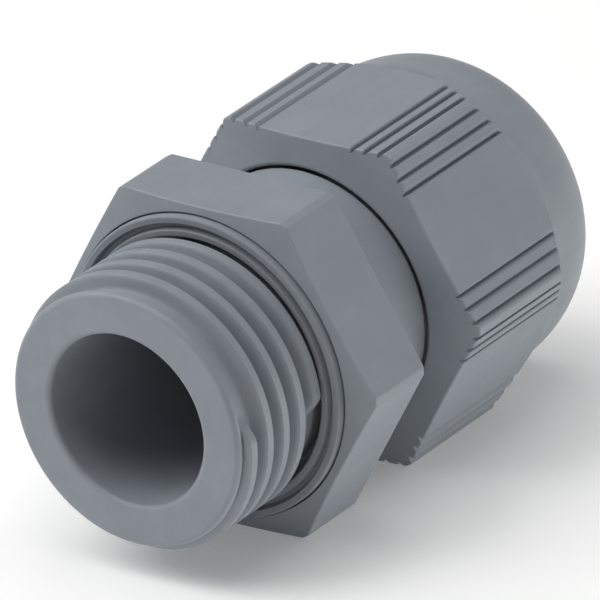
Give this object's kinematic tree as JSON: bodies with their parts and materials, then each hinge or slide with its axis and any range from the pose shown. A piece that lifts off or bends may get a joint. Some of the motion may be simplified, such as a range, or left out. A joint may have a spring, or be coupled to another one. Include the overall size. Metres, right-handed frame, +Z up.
{
  "type": "cable gland",
  "caption": "Threaded plastic cable gland with a hexagon flange, a sealing ring, clamping fingers round a rubber sleeve, and a grooved dome nut that tightens them.",
  "frame": {"origin": "bottom centre of the bounding box, where the gland lies on its hexagon flats; the gland's axis is at z = 9.5 mm", "axes": "+Y along the gland's axis from the connection thread towards the dome nut, +Z up, square to the flats the gland lies on, +X to the right seen from the thread end"},
  "size_m": [0.0218, 0.0334, 0.019],
  "materials": {
    "body": "injection-moulded grey polyamide, satin",
    "nut": "injection-moulded grey polyamide, satin",
    "fingers": "injection-moulded grey polyamide, satin",
    "seal": "grey moulded rubber",
    "sleeve": "black moulded chloroprene rubber"
  },
  "bodies": {
    "gland_body": {"gland_body": "body", "connection_seal": "seal"},
    "sleeve": {"sealing_sleeve": "sleeve"},
    "dome_nut": {"dome_nut": "nut"},
    "finger_01": {"clamp_finger_01": "fingers"},
    "finger_02": {"clamp_finger_02": "fingers"},
    "finger_03": {"clamp_finger_03": "fingers"},
    "finger_04": {"clamp_finger_04": "fingers"},
    "finger_05": {"clamp_finger_05": "fingers"},
    "finger_06": {"clamp_finger_06": "fingers"},
    "finger_07": {"clamp_finger_07": "fingers"},
    "finger_08": {"clamp_finger_08": "fingers"},
    "finger_09": {"clamp_finger_09": "fingers"},
    "finger_10": {"clamp_finger_10": "fingers"},
    "finger_11": {"clamp_finger_11": "fingers"},
    "finger_12": {"clamp_finger_12": "fingers"}
  },
  "joints": [
    {"name": "nut_travel", "type": "slide", "parent": "gland_body", "child": "sleeve", "axis": [0, -1, 0], "range_m": [0, 0.00263]},
    {"name": "nut_turn", "type": "hinge", "parent": "sleeve", "child": "dome_nut", "pos_m": [0, 0.009, 0.0095], "axis": [0, -1, 0], "range_deg": [0, 630]},
    {"name": "finger_01_bend", "type": "hinge", "parent": "gland_body", "child": "finger_01", "pos_m": [0, 0.0054, 0.0161], "axis": [-1, 0, 0], "range_deg": [0, 12]},
    {"name": "finger_02_bend", "type": "hinge", "parent": "gland_body", "child": "finger_02", "pos_m": [0.0033, 0.0054, 0.01522], "axis": [-0.866, 0, 0.5], "range_deg": [0, 12]},
    {"name": "finger_03_bend", "type": "hinge", "parent": "gland_body", "child": "finger_03", "pos_m": [0.00572, 0.0054, 0.0128], "axis": [-0.5, 0, 0.866], "range_deg": [0, 12]},
    {"name": "finger_04_bend", "type": "hinge", "parent": "gland_body", "child": "finger_04", "pos_m": [0.0066, 0.0054, 0.0095], "axis": [0, 0, 1], "range_deg": [0, 12]},
    {"name": "finger_05_bend", "type": "hinge", "parent": "gland_body", "child": "finger_05", "pos_m": [0.00572, 0.0054, 0.0062], "axis": [0.5, 0, 0.866], "range_deg": [0, 12]},
    {"name": "finger_06_bend", "type": "hinge", "parent": "gland_body", "child": "finger_06", "pos_m": [0.0033, 0.0054, 0.00378], "axis": [0.866, 0, 0.5], "range_deg": [0, 12]},
    {"name": "finger_07_bend", "type": "hinge", "parent": "gland_body", "child": "finger_07", "pos_m": [0, 0.0054, 0.0029], "axis": [1, 0, 0], "range_deg": [0, 12]},
    {"name": "finger_08_bend", "type": "hinge", "parent": "gland_body", "child": "finger_08", "pos_m": [-0.0033, 0.0054, 0.00378], "axis": [0.866, 0, -0.5], "range_deg": [0, 12]},
    {"name": "finger_09_bend", "type": "hinge", "parent": "gland_body", "child": "finger_09", "pos_m": [-0.00572, 0.0054, 0.0062], "axis": [0.5, 0, -0.866], "range_deg": [0, 12]},
    {"name": "finger_10_bend", "type": "hinge", "parent": "gland_body", "child": "finger_10", "pos_m": [-0.0066, 0.0054, 0.0095], "axis": [0, 0, -1], "range_deg": [0, 12]},
    {"name": "finger_11_bend", "type": "hinge", "parent": "gland_body", "child": "finger_11", "pos_m": [-0.00572, 0.0054, 0.0128], "axis": [-0.5, 0, -0.866], "range_deg": [0, 12]},
    {"name": "finger_12_bend", "type": "hinge", "parent": "gland_body", "child": "finger_12", "pos_m": [-0.0033, 0.0054, 0.01522], "axis": [-0.866, 0, -0.5], "range_deg": [0, 12]}
  ],
  "couplings": [
    {"joint": "nut_travel", "follows": "nut_turn", "m_per_rad": 0.00023873},
    {"joint": "finger_01_bend", "follows": "nut_turn", "ratio": 0.019048},
    {"joint": "finger_02_bend", "follows": "nut_turn", "ratio": 0.019048},
    {"joint": "finger_03_bend", "follows": "nut_turn", "ratio": 0.019048},
    {"joint": "finger_04_bend", "follows": "nut_turn", "ratio": 0.019048},
    {"joint": "finger_05_bend", "follows": "nut_turn", "ratio": 0.019048},
    {"joint": "finger_06_bend", "follows": "nut_turn", "ratio": 0.019048},
    {"joint": "finger_07_bend", "follows": "nut_turn", "ratio": 0.019048},
    {"joint": "finger_08_bend", "follows": "nut_turn", "ratio": 0.019048},
    {"joint": "finger_09_bend", "follows": "nut_turn", "ratio": 0.019048},
    {"joint": "finger_10_bend", "follows": "nut_turn", "ratio": 0.019048},
    {"joint": "finger_11_bend", "follows": "nut_turn", "ratio": 0.019048},
    {"joint": "finger_12_bend", "follows": "nut_turn", "ratio": 0.019048}
  ]
}
